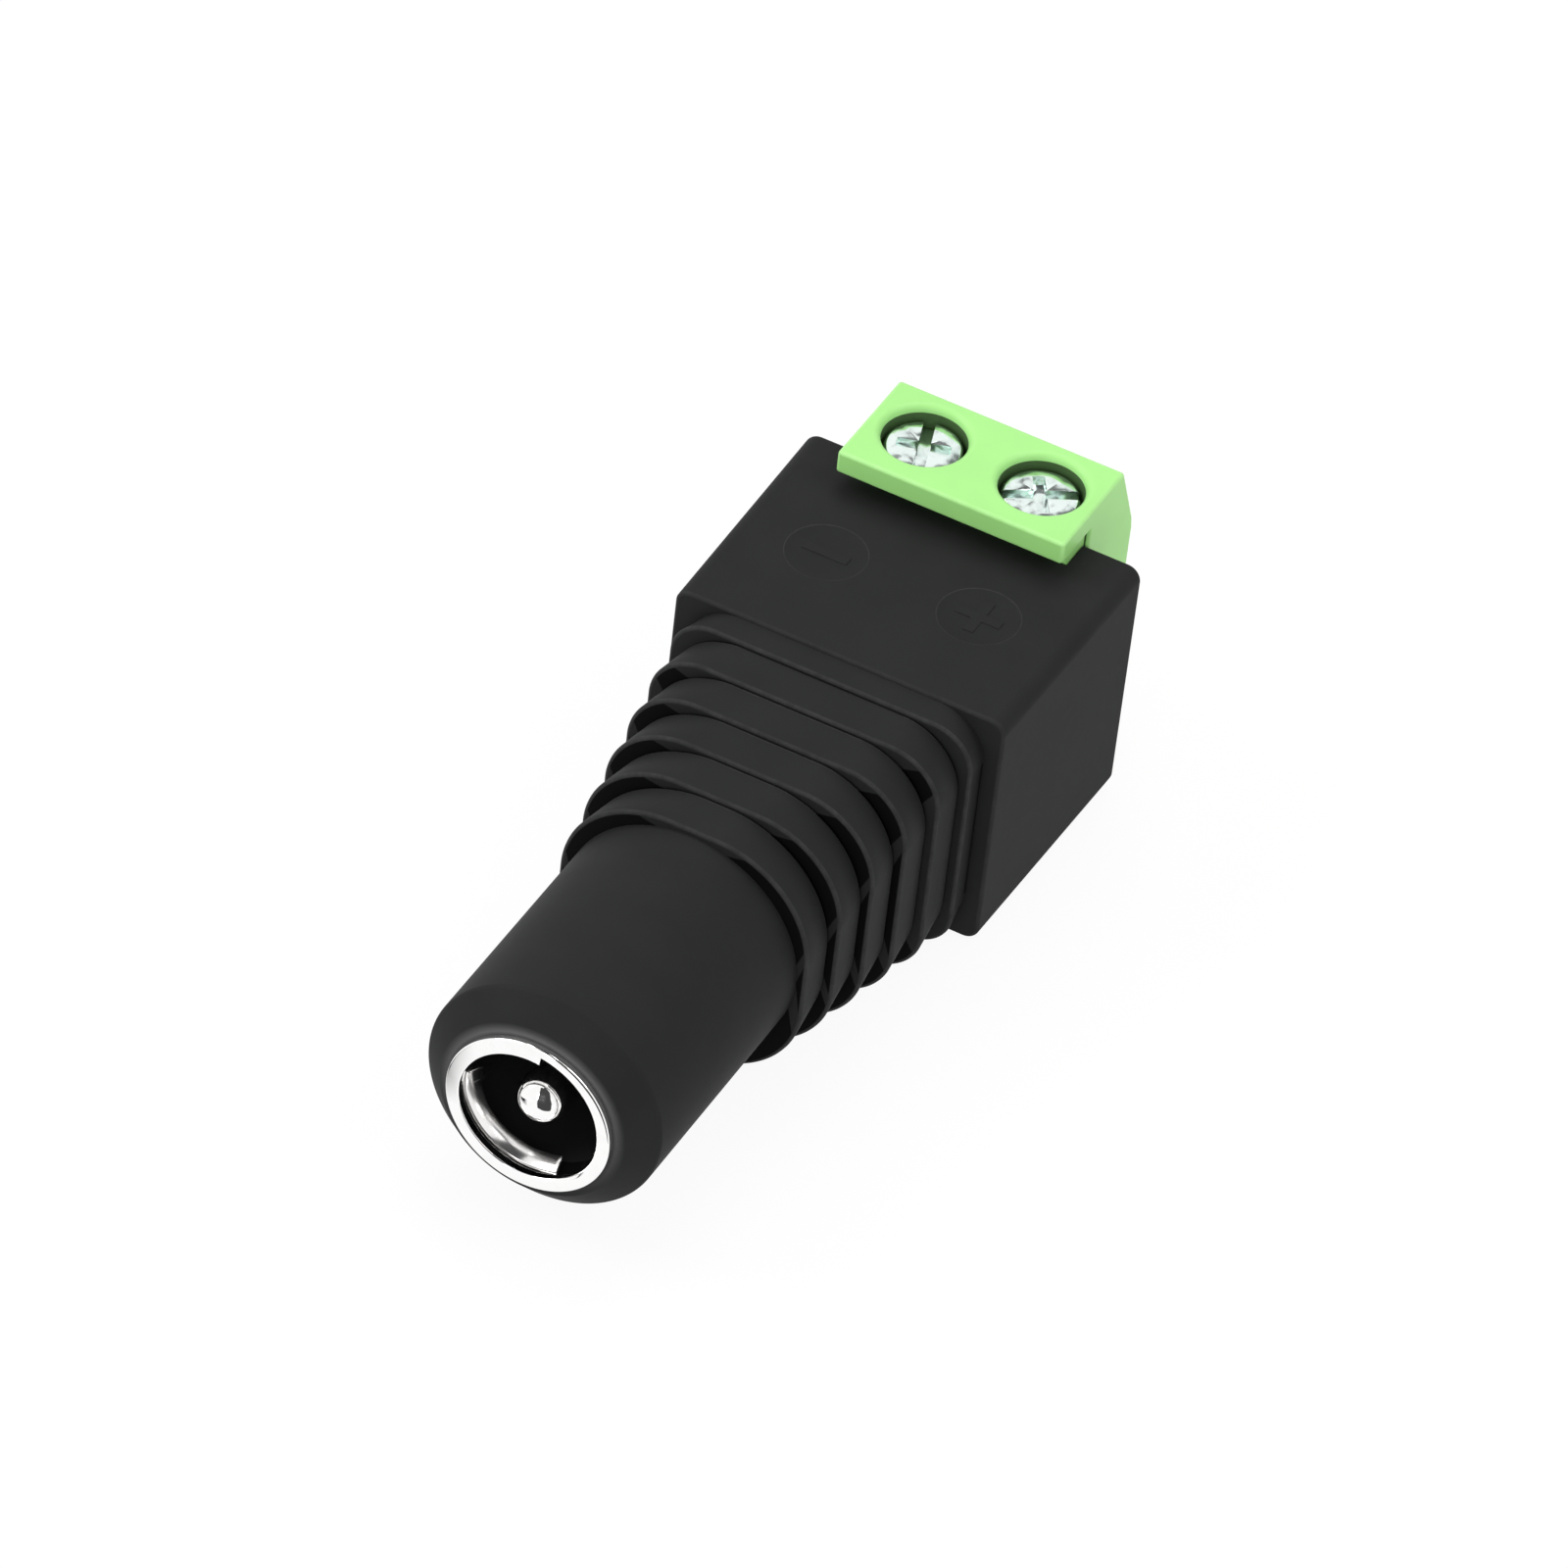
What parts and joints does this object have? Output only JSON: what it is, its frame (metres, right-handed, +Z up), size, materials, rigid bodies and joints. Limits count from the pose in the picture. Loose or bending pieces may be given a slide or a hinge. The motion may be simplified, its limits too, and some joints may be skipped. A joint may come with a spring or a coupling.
{
  "type": "dc barrel jack to screw terminal adaptor",
  "caption": "Female barrel jack socket with a ribbed black housing that grows from a round barrel into a box, with a green screw terminal block set in its rear.",
  "frame": {"origin": "centre of the socket's mouth face, on the crest of the nickel ring", "axes": "-Y leaves the mouth along the socket's axis, +Y runs back to the terminal block, +Z is up through the screw heads, +X is to the right seen from the mouth"},
  "size_m": [0.0144, 0.0383, 0.0126],
  "materials": {
    "black_plastic": "satin",
    "green_plastic": "satin",
    "nickel_plate": "polished",
    "plated_steel": "satin",
    "tinned_brass": "satin"
  },
  "bodies": {
    "body": {"housing": "black_plastic", "terminal_block": "green_plastic", "mouth_ring": "nickel_plate", "sleeve_spring": "nickel_plate", "centre_pin": "nickel_plate", "pin_washer": "nickel_plate", "jack_core": "black_plastic", "left_contact_bar": "tinned_brass", "right_contact_bar": "tinned_brass"},
    "left_screw": {"left_terminal_screw": "plated_steel"},
    "right_screw": {"right_terminal_screw": "plated_steel"},
    "left_clamp": {"left_clamp_cage": "plated_steel"},
    "right_clamp": {"right_clamp_cage": "plated_steel"}
  },
  "joints": [
    {"name": "left_screw_turn", "type": "hinge", "parent": "body", "child": "left_screw", "pos_m": [-0.0025, 0.03443, 0], "axis": [0, 0, 1], "range_deg": [-1760, 0]},
    {"name": "left_clamp_rise", "type": "slide", "parent": "body", "child": "left_clamp", "axis": [0, 0, 1], "range_m": [0, 0.0022]},
    {"name": "right_screw_turn", "type": "hinge", "parent": "body", "child": "right_screw", "pos_m": [0.0025, 0.03443, 0], "axis": [0, 0, 1], "range_deg": [-1760, 0]},
    {"name": "right_clamp_rise", "type": "slide", "parent": "body", "child": "right_clamp", "axis": [0, 0, 1], "range_m": [0, 0.0022]}
  ],
  "couplings": [
    {"joint": "left_screw_turn", "follows": "left_clamp_rise", "rad_per_m": -13963},
    {"joint": "right_screw_turn", "follows": "right_clamp_rise", "rad_per_m": -13963}
  ]
}
